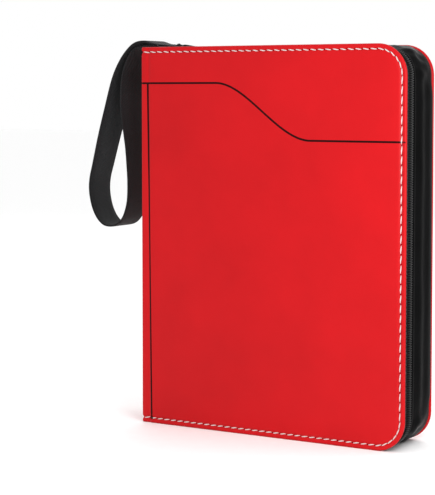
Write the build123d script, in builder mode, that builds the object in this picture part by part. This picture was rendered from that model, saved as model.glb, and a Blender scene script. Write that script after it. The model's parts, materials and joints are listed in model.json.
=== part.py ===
"""Zip-around album for collector cards, standing on its bottom edge.

The spine face is towards -X, the fore edge towards +X, the front cover towards -Y and the
back cover towards +Y. The covers turn about upright creases beside the spine, a zip closes
the three free sides, and six pocket leaves are held in the spine.
"""

import os

from build123d import *

os.makedirs("parts", exist_ok=True)

# Overall sizes, in millimetres.
case_width = 172.0
case_height = 226.0
case_depth = 39.0
corner_radius = 17.5

# Cover make-up, from the outside in.
skin_thickness = 1.0
foam_thickness = 0.7
board_thickness = 1.2
lining_thickness = 0.4
cover_thickness = skin_thickness + foam_thickness + board_thickness + lining_thickness
cover_edge_round = 0.9
crease_offset = 5.0
crease_gap = 0.4

# Spine.
spine_board_thickness = 1.8
spine_flap_width = 4.2
spine_lining_thickness = 0.4
binding_depth = 5.8
binding_width = 25.0
end_cap_height = 3.0
layer_clearance = 0.02

# Zip and gusset.
zip_from_front = 8.5
gusset_inset = 1.8
gusset_thickness = 1.2
tape_inset = 2.5
tape_thickness = 0.6
tape_overlap_width = 4.6
coil_inset = 1.3
coil_width = 2.2
coil_height = 1.2 - layer_clearance
chain_gap = 1.2
chain_start = 15.0
stop_length = 2.5
stop_height = 1.4

# Slider and puller.
slider_start = 17.5
slider_length = 7.5
slider_width = 7.0
plate_thickness = 0.95
slider_clearance = 0.35
post_width = 0.6
post_length = 3.0
bridge_bar_radius = 0.4
bridge_span = 4.4
bridge_leg = 1.0
bridge_rise = 1.15
eye_bore_clearance = 0.1
eye_wall = 0.5
eye_length = 1.8
link_length = 5.0
tab_length = 15.0
tab_width = 5.0
tab_thickness = 1.0

# Wrist strap.
strap_width = 22.0
strap_thickness = 1.4
anchor_length = 15.0
anchor_height = 2.7
anchor_tip_height = 0.5
stem_straight = 5.0
stem_gap = 0.6
loop_crown = 1.2
loop_inner_reach = 14.0
loop_outer_reach = 41.4
loop_top_drop = 14.0
loop_bottom_drop = 112.0

# Leaves.
leaves_per_side = 3
leaf_pitch = 4.0
leaf_root_clearance = 0.3
leaf_fore_margin = 9.0
leaf_end_margin = 9.0
sheet_thickness = 0.4
gutter_margin = 14.0
pocket_width = 136.0
pocket_height = 190.0
pocket_gap = 0.5
film_thickness = 0.2
weld_width = 1.2
card_width = 130.0
card_height = 182.0
card_thickness = 0.35

# Places worked out from the sizes above. X runs from the strap's outer end to the fore edge.
spine_face = (loop_outer_reach - case_width) / 2
fore_edge = spine_face + case_width
crease_x = spine_face + crease_offset
cover_start = crease_x + crease_gap
front_face = -case_depth / 2
back_face = case_depth / 2
inner_front = front_face + cover_thickness
inner_back = back_face - cover_thickness
zip_y = front_face + zip_from_front
tape_end = zip_y + chain_gap / 2 + tape_overlap_width
binding_start = spine_face + skin_thickness + spine_board_thickness + spine_lining_thickness
binding_face = binding_start + binding_depth
leaf_root = binding_face + leaf_root_clearance
leaf_end = fore_edge - leaf_fore_margin
slider_x = spine_face + slider_start
slider_mid = slider_x + slider_length / 2
COVERS = (("front", -1), ("back", 1))


def save(piece, name):
    """Labels a finished piece and writes its STEP file."""
    piece.label = name
    export_step(piece, f"parts/{name}.step")


def upright(y):
    """The upright plane at one depth, with its own axes along X and Z."""
    return Plane.XZ.offset(-y)


def panel(x_left, inset):
    """A cover-shaped face: square at the spine side, rounded at the two fore corners."""
    width = fore_edge - inset - x_left
    height = case_height - 2 * inset
    with BuildSketch(mode=Mode.PRIVATE) as outline:
        with Locations((x_left + width / 2, case_height / 2)):
            Rectangle(width, height)
        fillet(outline.vertices().group_by(Axis.X)[-1], corner_radius - inset)
    return outline.sketch


def rim(x_left, inset, thickness):
    """A band along the top, fore and bottom sides, open at the spine side."""
    with BuildSketch(mode=Mode.PRIVATE) as band:
        add(panel(x_left, inset))
        add(panel(x_left - thickness, inset + thickness), mode=Mode.SUBTRACT)
    return band.sketch


# Spine: a stiff board, wrapped on the outside by the cover leather and lined inside.
with BuildPart() as spine_skin:
    with BuildSketch(Plane.XY):
        with Locations((spine_face + spine_flap_width / 2, 0)):
            Rectangle(spine_flap_width, case_depth)
        with Locations((spine_face + skin_thickness + spine_flap_width / 2, 0)):
            Rectangle(spine_flap_width, case_depth - 2 * skin_thickness, mode=Mode.SUBTRACT)
    extrude(amount=case_height)
    fillet(spine_skin.edges().filter_by(Axis.Z).group_by(Axis.X)[0], cover_edge_round)
save(spine_skin.part, "spine_skin")

board_height = case_height - 2 * end_cap_height
board_width = case_depth - 2 * skin_thickness
with BuildPart() as spine_board:
    with BuildSketch(Plane.XY.offset(end_cap_height)):
        with Locations((spine_face + skin_thickness + spine_board_thickness / 2, 0)):
            Rectangle(spine_board_thickness, board_width)
    extrude(amount=board_height)
save(spine_board.part, "spine_board")

with BuildPart() as spine_lining:
    with BuildSketch(Plane.XY.offset(end_cap_height)):
        with Locations((binding_start - spine_lining_thickness / 2, 0)):
            Rectangle(spine_lining_thickness, board_width)
    extrude(amount=board_height)
save(spine_lining.part, "spine_lining")

for name, base in (("spine_end_top", case_height - end_cap_height), ("spine_end_bottom", 0)):
    with BuildPart() as end_cap:
        with BuildSketch(Plane.XY.offset(base)):
            with Locations(((spine_face + skin_thickness + binding_start) / 2, 0)):
                Rectangle(binding_start - spine_face - skin_thickness, board_width)
        extrude(amount=end_cap_height)
    save(end_cap.part, name)

with BuildPart() as page_binding:
    with BuildSketch(Plane.XY.offset(leaf_end_margin)):
        with Locations((binding_start + binding_depth / 2, 0)):
            Rectangle(binding_depth, binding_width)
    extrude(amount=case_height - 2 * leaf_end_margin)
    chamfer(page_binding.edges().filter_by(Axis.Z).group_by(Axis.X)[-1], binding_depth / 4)
save(page_binding.part, "page_binding")

# Covers: a leather tray over foam and board, with a fabric lining let into its mouth.
layers = (
    ("foam", skin_thickness, foam_thickness),
    ("board", skin_thickness + foam_thickness, board_thickness),
    ("lining", cover_thickness - lining_thickness, lining_thickness),
)
for side_name, side in COVERS:
    outer_face = side * case_depth / 2
    with BuildPart() as cover_skin:
        with BuildSketch(upright(outer_face)):
            add(panel(cover_start, 0))
        extrude(amount=side * cover_thickness)
        with BuildSketch(upright(outer_face - side * skin_thickness)):
            add(panel(cover_start + skin_thickness, skin_thickness))
        extrude(amount=side * (cover_thickness - skin_thickness), mode=Mode.SUBTRACT)
        outline_edges = cover_skin.edges().filter_by_position(
            Axis.Y, outer_face - layer_clearance, outer_face + layer_clearance
        )
        fillet(outline_edges, cover_edge_round)
    save(cover_skin.part, f"{side_name}_skin")
    for layer_name, depth, thickness in layers:
        with BuildPart() as layer:
            with BuildSketch(upright(outer_face - side * depth)):
                add(panel(cover_start + skin_thickness, skin_thickness))
            extrude(amount=side * thickness)
        save(layer.part, f"{side_name}_{layer_name}")

# Walls that run round the three free sides, each from one depth to another.
walls = (
    ("front_zip_tape", tape_inset, tape_thickness, inner_front, zip_y - chain_gap / 2),
    ("back_zip_tape", tape_inset, tape_thickness, zip_y + chain_gap / 2, tape_end),
    ("back_gusset", gusset_inset, gusset_thickness, tape_end, inner_back),
)
for name, inset, thickness, y_from, y_to in walls:
    with BuildPart() as wall:
        with BuildSketch(upright(y_from)):
            add(rim(cover_start, inset, thickness))
        extrude(amount=y_from - y_to)
    save(wall.part, name)

# The two halves of the zip chain, and the stops that end it beside the spine.
chain_x = spine_face + chain_start
for side_name, side in COVERS:
    inner_y = zip_y + side * chain_gap / 2
    with BuildPart() as coil:
        with BuildSketch(upright(inner_y)):
            add(rim(chain_x, coil_inset, coil_height))
        extrude(amount=-side * coil_width)
    save(coil.part, f"{side_name}_coil")

stop_z = tape_inset - layer_clearance
stop_x = chain_x - stop_length / 2 - slider_clearance
stop_y = zip_y + (chain_gap + coil_width) / 2
for name, base in (("zip_top_stop", case_height - stop_z), ("zip_bottom_stop", stop_z - stop_height)):
    with BuildPart() as stop:
        with BuildSketch(Plane.XY.offset(base)):
            with Locations((stop_x, stop_y)):
                Rectangle(stop_length, coil_width)
        extrude(amount=stop_height)
    save(stop.part, name)

# Slider: two plates joined by a post that runs between the halves of the chain.
upper_plate_z = case_height - coil_inset + slider_clearance
lower_plate_z = case_height - tape_inset - tape_thickness - slider_clearance - plate_thickness
with BuildPart() as slider_body:
    for base in (lower_plate_z, upper_plate_z):
        with BuildSketch(Plane.XY.offset(base)):
            with Locations((slider_mid, zip_y)):
                RectangleRounded(slider_length, slider_width, slider_width / 4)
        extrude(amount=plate_thickness)
    with BuildSketch(Plane.XY.offset(lower_plate_z)):
        with Locations((slider_mid, zip_y)):
            Rectangle(post_length, post_width)
    extrude(amount=upper_plate_z - lower_plate_z)
save(slider_body.part, "slider_body")

plate_top = upper_plate_z + plate_thickness
bar_z = plate_top + bridge_rise
with BuildPart() as slider_bridge:
    with BuildSketch(Plane.YZ.offset(slider_mid - bridge_span / 2 - bridge_leg)):
        with Locations((zip_y, bar_z)):
            Circle(bridge_bar_radius)
    extrude(amount=bridge_span + 2 * bridge_leg)
    with BuildSketch(Plane.XY.offset(plate_top)):
        with Locations((slider_mid, zip_y)):
            with GridLocations(bridge_span + bridge_leg, 0, 2, 1):
                Rectangle(bridge_leg, 2 * bridge_bar_radius)
    extrude(amount=bridge_rise)
save(slider_bridge.part, "slider_bridge")

# Puller: an eye round the bridge's bar, and a flat tab that lies over the gusset.
eye_bore = bridge_bar_radius + eye_bore_clearance
eye_radius = eye_bore + eye_wall
with BuildPart() as pull_link:
    with BuildSketch(Plane.YZ.offset(slider_mid - eye_length / 2)):
        with Locations((zip_y, bar_z)):
            Circle(eye_radius)
        with Locations((zip_y + link_length / 2, bar_z)):
            Rectangle(link_length, 2 * eye_wall)
        with Locations((zip_y, bar_z)):
            Circle(eye_bore, mode=Mode.SUBTRACT)
    extrude(amount=eye_length)
save(pull_link.part, "pull_link")

with BuildPart() as pull_tab:
    with BuildSketch(Plane.XY.offset(bar_z - tab_thickness / 2)):
        with Locations((slider_mid, zip_y + link_length + tab_length / 2)):
            RectangleRounded(tab_width, tab_length, tab_width / 3)
    extrude(amount=tab_thickness)
save(pull_tab.part, "pull_tab")

# Strap anchor: a wedge of folded webbing sewn down over the top end of the spine.
with BuildPart() as strap_anchor:
    with BuildSketch(upright(-strap_width / 2)):
        with BuildLine():
            Polyline(
                (spine_face, case_height),
                (spine_face + anchor_length, case_height),
                (spine_face + anchor_length, case_height + anchor_tip_height),
                (spine_face, case_height + anchor_height),
                close=True,
            )
        make_face()
    extrude(amount=-strap_width)
save(strap_anchor.part, "strap_anchor")

# Strap: both plies leave the anchor side by side, then part into a drop-shaped loop.
loop_width = loop_outer_reach - loop_inner_reach
loop_length = loop_bottom_drop - loop_top_drop
LOOP_SHAPE = (
    (0.25, 0.00),
    (0.45, 0.13),
    (0.75, 0.40),
    (1.00, 0.72),
    (0.90, 0.90),
    (0.45, 1.00),
    (0.08, 0.94),
    (0.00, 0.75),
    (0.12, 0.48),
    (0.19, 0.16),
)


def loop_outline(margin):
    """The loop's face, pulled in by a margin on all sides."""
    right = spine_face - loop_inner_reach - margin
    top = case_height - loop_top_drop - margin
    width = loop_width - 2 * margin
    length = loop_length - 2 * margin
    with BuildSketch(mode=Mode.PRIVATE) as outline:
        with BuildLine():
            points = [(right - across * width, top - down * length) for across, down in LOOP_SHAPE]
            Spline(*points, periodic=True)
        make_face()
    return outline.sketch


with BuildPart() as strap_loop:
    with BuildSketch(upright(-strap_width / 2)):
        add(loop_outline(0))
        add(loop_outline(strap_thickness), mode=Mode.SUBTRACT)
    extrude(amount=-strap_width)
save(strap_loop.part, "strap_loop")

stem_thickness = 2 * strap_thickness
stem_start = spine_face - stem_gap - stem_thickness / 2
stem_z = case_height + anchor_height / 2
crotch_x = spine_face - loop_inner_reach - LOOP_SHAPE[0][0] * loop_width
crotch_z = case_height - loop_top_drop + loop_crown + stem_thickness / 2
with BuildPart() as strap_stem:
    with BuildSketch(upright(-strap_width / 2)):
        with BuildLine():
            top = Line((stem_start, stem_z), (stem_start - stem_straight, stem_z))
            TangentArc(top @ 1, (crotch_x, crotch_z), tangent=top % 1)
            offset(amount=stem_thickness / 2, side=Side.BOTH)
        make_face()
    extrude(amount=-strap_width)
save(strap_stem.part, "strap_stem")

# Leaves: a plastic sheet with a card pocket on each face, counted from the front cover.
leaf_count = 2 * leaves_per_side
leaf_height = case_height - 2 * leaf_end_margin
pocket_x = leaf_root + gutter_margin + pocket_width / 2
for number in range(1, leaf_count + 1):
    leaf_y = (number - (leaf_count + 1) / 2) * leaf_pitch
    with BuildPart() as sheet:
        with BuildSketch(upright(leaf_y - sheet_thickness / 2)):
            with Locations(((leaf_root + leaf_end) / 2, case_height / 2)):
                Rectangle(leaf_end - leaf_root, leaf_height)
        extrude(amount=-sheet_thickness)
    save(sheet.part, f"leaf_{number}_sheet")
    with BuildPart() as pockets:
        for side in (-1, 1):
            with BuildSketch(upright(leaf_y + side * sheet_thickness / 2)):
                with Locations((pocket_x, case_height / 2)):
                    Rectangle(pocket_width, pocket_height)
            extrude(amount=-side * (pocket_gap + film_thickness))
            with BuildSketch(upright(leaf_y + side * sheet_thickness / 2)):
                with Locations((pocket_x + weld_width / 2, case_height / 2)):
                    Rectangle(pocket_width - weld_width, pocket_height - 2 * weld_width)
            extrude(amount=-side * pocket_gap, mode=Mode.SUBTRACT)
    save(pockets.part, f"leaf_{number}_pockets")
    with BuildPart() as cards:
        for side in (-1, 1):
            card_face = leaf_y + side * (sheet_thickness + pocket_gap - card_thickness) / 2
            with BuildSketch(upright(card_face)):
                with Locations((pocket_x, case_height / 2)):
                    Rectangle(card_width, card_height)
            extrude(amount=-side * card_thickness)
    save(cards.part, f"leaf_{number}_cards")
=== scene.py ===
"""The looks of a zip-around card album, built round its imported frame."""

import json
import logging
import math
import random
from bisect import bisect_right
from dataclasses import dataclass
from enum import Enum
from typing import Callable, Sequence

import bmesh
import bpy
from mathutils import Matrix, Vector


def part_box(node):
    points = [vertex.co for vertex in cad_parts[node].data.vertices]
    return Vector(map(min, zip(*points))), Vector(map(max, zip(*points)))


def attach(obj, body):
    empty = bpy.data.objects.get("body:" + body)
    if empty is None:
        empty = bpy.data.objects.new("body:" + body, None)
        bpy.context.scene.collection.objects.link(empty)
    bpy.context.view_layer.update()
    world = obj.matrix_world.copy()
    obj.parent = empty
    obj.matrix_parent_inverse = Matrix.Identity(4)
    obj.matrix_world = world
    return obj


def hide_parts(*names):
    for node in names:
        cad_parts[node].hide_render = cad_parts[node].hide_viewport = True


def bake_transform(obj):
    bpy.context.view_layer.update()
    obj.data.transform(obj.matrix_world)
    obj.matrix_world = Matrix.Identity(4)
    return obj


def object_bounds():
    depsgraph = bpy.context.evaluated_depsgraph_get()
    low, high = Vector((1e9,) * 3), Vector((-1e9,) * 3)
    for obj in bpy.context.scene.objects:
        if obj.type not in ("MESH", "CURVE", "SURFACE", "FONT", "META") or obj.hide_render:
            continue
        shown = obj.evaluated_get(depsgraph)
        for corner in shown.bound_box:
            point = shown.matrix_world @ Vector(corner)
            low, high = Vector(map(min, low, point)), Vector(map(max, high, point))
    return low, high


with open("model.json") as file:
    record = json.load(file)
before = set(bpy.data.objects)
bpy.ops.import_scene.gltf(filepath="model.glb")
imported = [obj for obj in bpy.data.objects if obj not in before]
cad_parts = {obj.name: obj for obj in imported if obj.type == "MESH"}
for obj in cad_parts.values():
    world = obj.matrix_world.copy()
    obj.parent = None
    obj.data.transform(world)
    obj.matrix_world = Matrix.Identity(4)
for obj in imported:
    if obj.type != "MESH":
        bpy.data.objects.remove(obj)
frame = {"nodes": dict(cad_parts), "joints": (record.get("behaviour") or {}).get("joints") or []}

CAD_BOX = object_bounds()
LOG = logging.getLogger("card_album")
MM = 0.001
CORNER_STEPS = 14
Flat = tuple[float, float]
Spot = tuple[float, float, float]
Colour = tuple[float, float, float]
Socket = bpy.types.NodeSocket
Material = bpy.types.Material
Piece = bpy.types.Object


class Side(Enum):
    """Which cover a piece belongs to; the value points outwards along Y."""

    FRONT = -1
    BACK = 1

    @property
    def word(self) -> str:
        """The side's name in node and body names."""
        return self.name.lower()

    @property
    def body(self) -> str:
        """The moving body that the cover of this side is."""
        return f"{self.word}_case"


class Weave(Enum):
    """Which two coordinates a woven pattern runs along."""

    ALONG_X_AND_Z = ("X", "Z")
    ALONG_Y_AND_Z = ("Y", "Z")
    ON_THE_STRIP = ("U", "V")


# ---------------------------------------------------------------- finishes


class Graph:
    """A material's nodes, added one at a time round one Principled shader."""

    def __init__(self, name: str) -> None:
        """Starts an empty material with a shader and its output."""
        self.material = bpy.data.materials.new(name)
        self.material.use_nodes = True
        self.tree = self.material.node_tree
        self.tree.nodes.clear()
        self.output = self.tree.nodes.new("ShaderNodeOutputMaterial")
        self.shader = self.tree.nodes.new("ShaderNodeBsdfPrincipled")
        self.tree.links.new(self.shader.outputs["BSDF"], self.output.inputs["Surface"])

    def put(self, target: Socket, value: "Socket | float | Sequence[float]") -> None:
        """Links a socket to an input, or sets the input's plain value."""
        if isinstance(value, bpy.types.NodeSocket):
            self.tree.links.new(value, target)
        else:
            target.default_value = value

    def set(self, **values: "Socket | float | Sequence[float]") -> None:
        """Fills the shader's inputs, with underscores for the spaces in their names."""
        for name, value in values.items():
            self.put(self.shader.inputs[name.replace("_", " ")], value)

    def places(self, kind: str = "Object") -> Socket:
        """The piece's own coordinates of one kind."""
        return self.tree.nodes.new("ShaderNodeTexCoord").outputs[kind]

    def maths(self, word: str, first: "Socket | float", second: "Socket | float" = 0.0) -> Socket:
        """One step of arithmetic.

        Args:
            word: The operation's name in Blender.
            first: The first number.
            second: The second number, where the operation has one.

        Returns:
            The socket that holds the result.
        """
        node = self.tree.nodes.new("ShaderNodeMath")
        node.operation = word
        self.put(node.inputs[0], first)
        self.put(node.inputs[1], second)
        return node.outputs[0]

    def noise(self, scale: float, detail: float = 2.0, stretch: Spot = (1.0, 1.0, 1.0)) -> Socket:
        """Soft random mottling.

        Args:
            scale: Spots per metre.
            detail: How many finer layers it has.
            stretch: A factor for each axis, above one for closer spots.

        Returns:
            The socket that holds the noise, from 0 to 1.
        """
        mapping = self.tree.nodes.new("ShaderNodeMapping")
        self.put(mapping.inputs["Vector"], self.places())
        mapping.inputs["Scale"].default_value = stretch
        node = self.tree.nodes.new("ShaderNodeTexNoise")
        self.put(node.inputs["Vector"], mapping.outputs["Vector"])
        node.inputs["Scale"].default_value = scale
        node.inputs["Detail"].default_value = detail
        return node.outputs["Fac"]

    def grain(self, scale: float) -> Socket:
        """Small rounded cells, as in embossed leather.

        Args:
            scale: Cells per metre.

        Returns:
            The socket that holds the distance from the middle of the cell.
        """
        node = self.tree.nodes.new("ShaderNodeTexVoronoi")
        node.feature = "SMOOTH_F1"
        self.put(node.inputs["Vector"], self.places())
        node.inputs["Scale"].default_value = scale
        return node.outputs["Distance"]

    def waves(self, axis: str, pitch: float) -> Socket:
        """A sine along one coordinate that repeats every pitch.

        Args:
            axis: X, Y or Z of the piece, or U or V of its strip.
            pitch: The length of one wave, in metres.

        Returns:
            The socket that holds the sine, from -1 to 1.
        """
        split = self.tree.nodes.new("ShaderNodeSeparateXYZ")
        on_strip = axis in "UV"
        self.put(split.inputs[0], self.places("UV" if on_strip else "Object"))
        letter = {"U": "X", "V": "Y"}.get(axis, axis)
        turns = self.maths("MULTIPLY", split.outputs[letter], 2 * math.pi / pitch)
        return self.maths("SINE", turns)

    def weave(self, way: Weave, first_pitch: float, second_pitch: float) -> Socket:
        """Over-and-under bumps of crossed yarns, from -1 to 1."""
        first, second = way.value
        return self.maths("MULTIPLY", self.waves(first, first_pitch), self.waves(second, second_pitch))

    def between(self, share: Socket, low: Colour, high: Colour) -> Socket:
        """A colour that runs between two others.

        Args:
            share: How far it has run, from 0 to 1.
            low: The colour at 0.
            high: The colour at 1.

        Returns:
            The socket that holds the colour.
        """
        node = self.tree.nodes.new("ShaderNodeMix")
        node.data_type = "RGBA"
        self.put(node.inputs["Factor"], share)
        node.inputs["A"].default_value = (*low, 1.0)
        node.inputs["B"].default_value = (*high, 1.0)
        return node.outputs["Result"]

    def ranged(
        self, value: Socket, low: float, high: float, start: float = 0.0, stop: float = 1.0
    ) -> Socket:
        """A value that follows another over a range.

        Args:
            value: The value that it follows.
            low: The result where the value is start.
            high: The result where the value is stop.
            start: The lower end of the followed range.
            stop: The upper end of the followed range.

        Returns:
            The socket that holds the result.
        """
        node = self.tree.nodes.new("ShaderNodeMapRange")
        self.put(node.inputs["Value"], value)
        node.inputs["From Min"].default_value = start
        node.inputs["From Max"].default_value = stop
        node.inputs["To Min"].default_value = low
        node.inputs["To Max"].default_value = high
        return node.outputs["Result"]

    def bump(
        self, height: Socket, depth: float, strength: float = 1.0, under: "Socket | None" = None
    ) -> Socket:
        """A relief on the surface.

        Args:
            height: The relief's height, from 0 to 1.
            depth: How deep a height of 1 is, in metres.
            strength: How much of it shows.
            under: A coarser relief that this one lies on.

        Returns:
            The socket that holds the surface's normal.
        """
        node = self.tree.nodes.new("ShaderNodeBump")
        node.inputs["Distance"].default_value = depth
        node.inputs["Strength"].default_value = strength
        self.put(node.inputs["Height"], height)
        if under is not None:
            self.put(node.inputs["Normal"], under)
        return node.outputs["Normal"]


@dataclass(frozen=True)
class CoatedLeather:
    """Smooth coated leather: fine grain, a soft shine and faint mottling."""

    name: str
    colour: Colour
    shade: Colour
    gloss: float = 0.2
    ior: float = 1.5
    roughness: float = 0.42
    grain_pitch: float = 0.00055
    grain_depth: float = 0.00003
    crease_depth: float = 0.0
    clouds_per_metre: float = 28.0
    pores_per_metre: float = 900.0
    creases_per_metre: float = 60.0

    def build(self) -> Material:
        """Makes the material."""
        graph = Graph(self.name)
        cloud = graph.noise(self.clouds_per_metre, 3.0)
        fine = graph.noise(self.pores_per_metre)
        tone = graph.between(graph.ranged(cloud, 0.0, 1.0, 0.3, 0.7), self.shade, self.colour)
        grain = graph.bump(graph.grain(1 / self.grain_pitch), self.grain_depth, 0.7)
        relief = graph.bump(fine, self.grain_depth, 0.5, grain)
        if self.crease_depth:
            creases = graph.noise(self.creases_per_metre, 4.0, (1.0, 1.0, 0.35))
            relief = graph.bump(creases, self.crease_depth, 0.6, relief)
        rough = graph.ranged(fine, self.roughness - 0.05, self.roughness + 0.07)
        graph.set(Base_Color=tone, Roughness=rough, Normal=relief)
        graph.set(Specular_IOR_Level=self.gloss, IOR=self.ior)
        return graph.material


@dataclass(frozen=True)
class Cloth:
    """Woven cloth or tape: crossed yarns with a little fuzz."""

    name: str
    colour: Colour
    light: Colour
    way: Weave
    first_pitch: float
    second_pitch: float
    depth: float = 0.00012
    roughness: float = 0.78
    sheen: float = 0.03
    fuzz_per_metre: float = 2600.0
    clouds_per_metre: float = 45.0

    def build(self) -> Material:
        """Makes the material."""
        graph = Graph(self.name)
        yarns = graph.ranged(graph.weave(self.way, self.first_pitch, self.second_pitch), 0.0, 1.0, -1.0, 1.0)
        fuzz = graph.noise(self.fuzz_per_metre)
        cloud = graph.noise(self.clouds_per_metre)
        tone = graph.between(graph.maths("MULTIPLY", yarns, cloud), self.colour, self.light)
        relief = graph.bump(fuzz, self.depth * 0.3, 0.6, graph.bump(yarns, self.depth, 0.9))
        graph.set(Base_Color=tone, Roughness=graph.ranged(fuzz, self.roughness - 0.08, self.roughness + 0.1))
        graph.set(Normal=relief, Sheen_Weight=self.sheen, Sheen_Roughness=0.5, IOR=1.2)
        return graph.material


@dataclass(frozen=True)
class SewingThread:
    """Waxed thread: fine fibres in two tones, with a little sheen."""

    name: str
    colour: Colour
    shade: Colour
    fibres_per_metre: float = 4200.0

    def build(self) -> Material:
        """Makes the material."""
        graph = Graph(self.name)
        plies = graph.noise(self.fibres_per_metre)
        graph.set(Base_Color=graph.between(plies, self.shade, self.colour))
        graph.set(Roughness=graph.ranged(plies, 0.45, 0.68), Normal=graph.bump(plies, 0.00006, 0.7))
        graph.set(Sheen_Weight=0.2, Specular_IOR_Level=0.4)
        return graph.material


@dataclass(frozen=True)
class Moulding:
    """Moulded plastic or lacquer: even colour, flow marks and hairline scratches."""

    name: str
    colour: Colour
    light: Colour
    roughness: float
    metallic: float = 0.0
    coat: float = 0.0
    ior: float = 1.5
    flows_per_metre: float = 120.0
    hairs_per_metre: float = 900.0

    def build(self) -> Material:
        """Makes the material."""
        graph = Graph(self.name)
        flow = graph.noise(self.flows_per_metre, 3.0)
        hairs = graph.noise(self.hairs_per_metre, stretch=(1.0, 0.08, 1.0))
        graph.set(Base_Color=graph.between(graph.ranged(flow, 0.0, 1.0, 0.35, 0.75), self.colour, self.light))
        graph.set(Roughness=graph.ranged(hairs, self.roughness - 0.06, self.roughness + 0.12))
        graph.set(Normal=graph.bump(hairs, 0.00001, 0.4))
        graph.set(Metallic=self.metallic, Coat_Weight=self.coat, IOR=self.ior)
        return graph.material


@dataclass(frozen=True)
class ClearFilm:
    """Clear pocket film with a faint embossed ripple."""

    name: str
    tint: Colour
    glint: Colour
    alpha: float
    ripples_per_metre: float = 70.0

    def build(self) -> Material:
        """Makes the material."""
        graph = Graph(self.name)
        ripple = graph.noise(self.ripples_per_metre, 3.0)
        graph.set(Base_Color=graph.between(ripple, self.tint, self.glint), Alpha=self.alpha)
        graph.set(Roughness=graph.ranged(ripple, 0.08, 0.2), Normal=graph.bump(ripple, 0.0002, 0.4))
        graph.set(IOR=1.2)
        return graph.material


@dataclass(frozen=True)
class CardPrint:
    """A printed card face: fine double frames, rings, rays and corner rounds on a dark ground.

    Places on it are shares of half its width and half its height. A ring is its radius and half its line's
    width, and a frame is its width, its height and half its line's width.
    """

    name: str
    ground: Colour
    line: Colour
    rays: int
    tall: float = 1.4
    ray_ring: Flat = (0.38, 0.12)
    ray_cut: float = 0.80
    rings: tuple[Flat, ...] = ((0.56, 0.016), (0.63, 0.007), (0.17, 0.02))
    frames: tuple[Spot, ...] = ((0.90, 0.935, 0.016), (0.83, 0.88, 0.007))
    corner_at: Flat = (0.62, 0.72)
    corner_ring: Flat = (0.13, 0.014)
    specks_per_metre: float = 1500.0

    def build(self) -> Material:
        """Makes the material."""
        graph = Graph(self.name)
        split = graph.tree.nodes.new("ShaderNodeSeparateXYZ")
        graph.put(split.inputs[0], graph.places("UV"))
        across, up = split.outputs["X"], split.outputs["Y"]
        high = graph.maths("MULTIPLY", up, self.tall)
        far = self._distance(graph, across, high)
        turns = graph.maths("MULTIPLY", graph.maths("ARCTAN2", high, across), self.rays)
        spokes = graph.maths("GREATER_THAN", graph.maths("SINE", turns), self.ray_cut)
        marks = graph.maths("MULTIPLY", spokes, self._band(graph, far, *self.ray_ring))
        side, height = graph.maths("ABSOLUTE", across), graph.maths("ABSOLUTE", up)
        corner_x = graph.maths("SUBTRACT", side, self.corner_at[0])
        corner_y = graph.maths("MULTIPLY", graph.maths("SUBTRACT", height, self.corner_at[1]), self.tall)
        corner = self._distance(graph, corner_x, corner_y)
        for width, rise, half in self.frames:
            across_share, up_share = graph.maths("DIVIDE", side, width), graph.maths("DIVIDE", height, rise)
            box = graph.maths("MAXIMUM", across_share, up_share)
            marks = graph.maths("MAXIMUM", marks, self._band(graph, box, 1.0, half))
        for place_at, ring in (*((far, ring) for ring in self.rings), (corner, self.corner_ring)):
            marks = graph.maths("MAXIMUM", marks, self._band(graph, place_at, *ring))
        speck = graph.noise(self.specks_per_metre)
        graph.set(Base_Color=graph.between(marks, self.ground, self.line))
        graph.set(Roughness=graph.ranged(speck, 0.25, 0.38))
        graph.set(Normal=graph.bump(speck, 0.00001, 0.4), IOR=1.2)
        return graph.material

    @staticmethod
    def _band(graph: Graph, value: Socket, centre: float, half: float) -> Socket:
        """One where a value lies within half of a centre, and nothing elsewhere."""
        return graph.maths("LESS_THAN", graph.maths("ABSOLUTE", graph.maths("SUBTRACT", value, centre)), half)

    @staticmethod
    def _distance(graph: Graph, first: Socket, second: Socket) -> Socket:
        """How far a place is from the middle, from its two coordinates."""
        squares = graph.maths("ADD", graph.maths("POWER", first, 2.0), graph.maths("POWER", second, 2.0))
        return graph.maths("SQRT", squares)


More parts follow.
